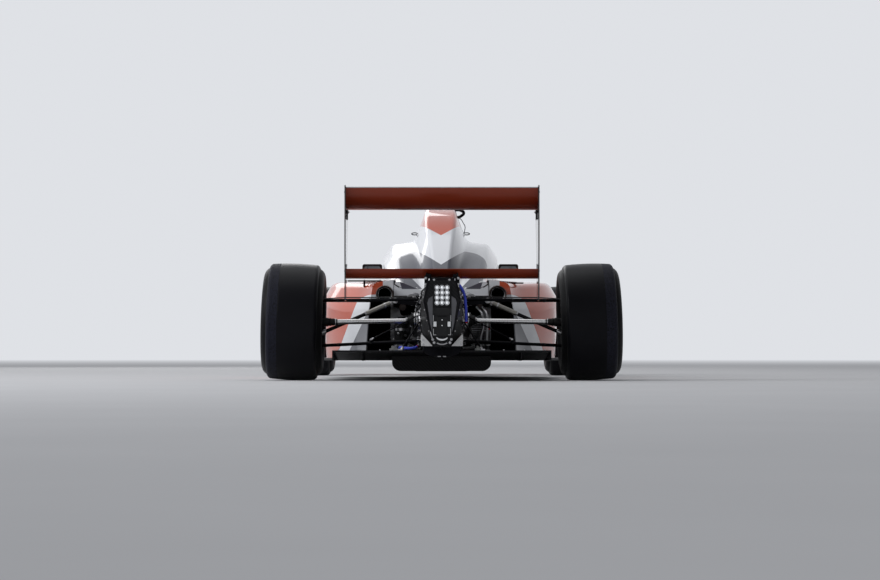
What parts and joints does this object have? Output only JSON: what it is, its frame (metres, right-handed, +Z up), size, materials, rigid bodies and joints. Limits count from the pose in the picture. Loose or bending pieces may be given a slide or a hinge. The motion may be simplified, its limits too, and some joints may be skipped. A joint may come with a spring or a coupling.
{
  "type": "open wheel racing car",
  "caption": "Junior single-seater racing car with slick tyres, two-tier rear wing, airbox and narrow gearbox tail, in orange, white and dark grey.",
  "frame": {"origin": "middle of the footprint, on the ground", "axes": "+Y towards the nose, +X to the driver's right, +Z up"},
  "size_m": [1.7894, 4.2, 0.936],
  "materials": {
    "orange_paint": "gloss orange metallic",
    "white_paint": "gloss white with grey and orange fields",
    "carbon": "gloss black laminate",
    "black_satin": "satin black",
    "floor_black": "matte black",
    "cast_alloy": "as cast",
    "steel": "satin",
    "wheel_alloy": "dark satin",
    "slick": "smooth, worn",
    "pad": "matte black",
    "plank_wood": "matte",
    "lamp": "clear",
    "core": "matte",
    "grip": "matte black"
  },
  "bodies": {
    "chassis": {"monocoque": "white_paint", "nose_cone": "orange_paint", "head_surround": "pad", "seat": "floor_black", "floor_panel": "floor_black", "plank": "plank_wood", "diffuser": "floor_black", "sidepod_right": "orange_paint", "sidepod_left": "orange_paint", "engine_cover": "white_paint", "radiators": "core", "engine_block": "cast_alloy", "gearbox_case": "cast_alloy", "crash_structure": "carbon", "rain_light": "lamp", "exhaust_pipes": "steel", "rear_wing_upper": "orange_paint", "rear_wing_endplates": "carbon", "beam_wing": "orange_paint", "beam_wing_brackets": "black_satin", "front_wing_main": "orange_paint", "front_wing_flaps": "orange_paint", "front_wing_endplates": "carbon", "mirrors": "carbon", "release_pulls": "black_satin", "tow_eyes": "steel", "front_wishbones": "black_satin", "rear_wishbones": "black_satin", "pushrods": "black_satin", "rear_rockers": "cast_alloy", "rear_uprights": "cast_alloy"},
    "front_left_knuckle": {"front_upright_left": "cast_alloy"},
    "front_right_knuckle": {"front_upright_right": "cast_alloy"},
    "front_left_wheel": {"tyre_front_left": "slick", "wheel_front_left": "wheel_alloy"},
    "front_right_wheel": {"tyre_front_right": "slick", "wheel_front_right": "wheel_alloy"},
    "rear_left_wheel": {"tyre_rear_left": "slick", "wheel_rear_left": "wheel_alloy"},
    "rear_right_wheel": {"tyre_rear_right": "slick", "wheel_rear_right": "wheel_alloy"},
    "left_driveshaft": {"driveshaft_left": "steel"},
    "right_driveshaft": {"driveshaft_right": "steel"},
    "rack_and_track_rods": {"steering_rack": "steel"},
    "wheel_and_column": {"steering_wheel": "grip"}
  },
  "joints": [
    {"name": "steer_left", "type": "hinge", "parent": "chassis", "child": "front_left_knuckle", "pos_m": [-0.655, 1.204, 0.1681], "axis": [0.0683, -0.0586, 0.9959], "range_deg": [-17, 17]},
    {"name": "steer_right", "type": "hinge", "parent": "chassis", "child": "front_right_knuckle", "pos_m": [0.655, 1.204, 0.1681], "axis": [-0.0683, -0.0586, 0.9959], "range_deg": [-17, 17]},
    {"name": "front_left_wheel_spin", "type": "hinge", "parent": "front_left_knuckle", "child": "front_left_wheel", "pos_m": [-0.75, 1.2, 0.2716], "axis": [-0.9994, 0, 0.0349], "continuous": true},
    {"name": "front_right_wheel_spin", "type": "hinge", "parent": "front_right_knuckle", "child": "front_right_wheel", "pos_m": [0.75, 1.2, 0.2716], "axis": [0.9994, 0, 0.0349], "continuous": true},
    {"name": "rear_left_wheel_spin", "type": "hinge", "parent": "chassis", "child": "rear_left_wheel", "pos_m": [-0.737, -1.45, 0.29142], "axis": [-0.9996, 0, 0.0297], "continuous": true},
    {"name": "rear_right_wheel_spin", "type": "hinge", "parent": "chassis", "child": "rear_right_wheel", "pos_m": [0.737, -1.45, 0.29142], "axis": [0.9996, 0, 0.0297], "continuous": true},
    {"name": "left_driveshaft_spin", "type": "hinge", "parent": "chassis", "child": "left_driveshaft", "pos_m": [-0.116, -1.45, 0.297], "axis": [-0.9999, 0, -0.0164], "continuous": true},
    {"name": "right_driveshaft_spin", "type": "hinge", "parent": "chassis", "child": "right_driveshaft", "pos_m": [0.116, -1.45, 0.297], "axis": [0.9999, 0, -0.0164], "continuous": true},
    {"name": "rack_slide", "type": "slide", "parent": "chassis", "child": "rack_and_track_rods", "axis": [1, 0, 0], "range_m": [-0.031, 0.031]},
    {"name": "steering_wheel_turn", "type": "hinge", "parent": "chassis", "child": "wheel_and_column", "pos_m": [0, 1.276, 0.272], "axis": [0, -0.9543, 0.299], "range_deg": [-190, 190]}
  ],
  "couplings": [
    {"joint": "steer_right", "follows": "steer_left", "ratio": 1},
    {"joint": "rack_slide", "follows": "steer_left", "m_per_rad": -0.1},
    {"joint": "steering_wheel_turn", "follows": "steer_left", "ratio": 11},
    {"joint": "left_driveshaft_spin", "follows": "rear_left_wheel_spin", "ratio": 1},
    {"joint": "right_driveshaft_spin", "follows": "rear_right_wheel_spin", "ratio": 1}
  ]
}
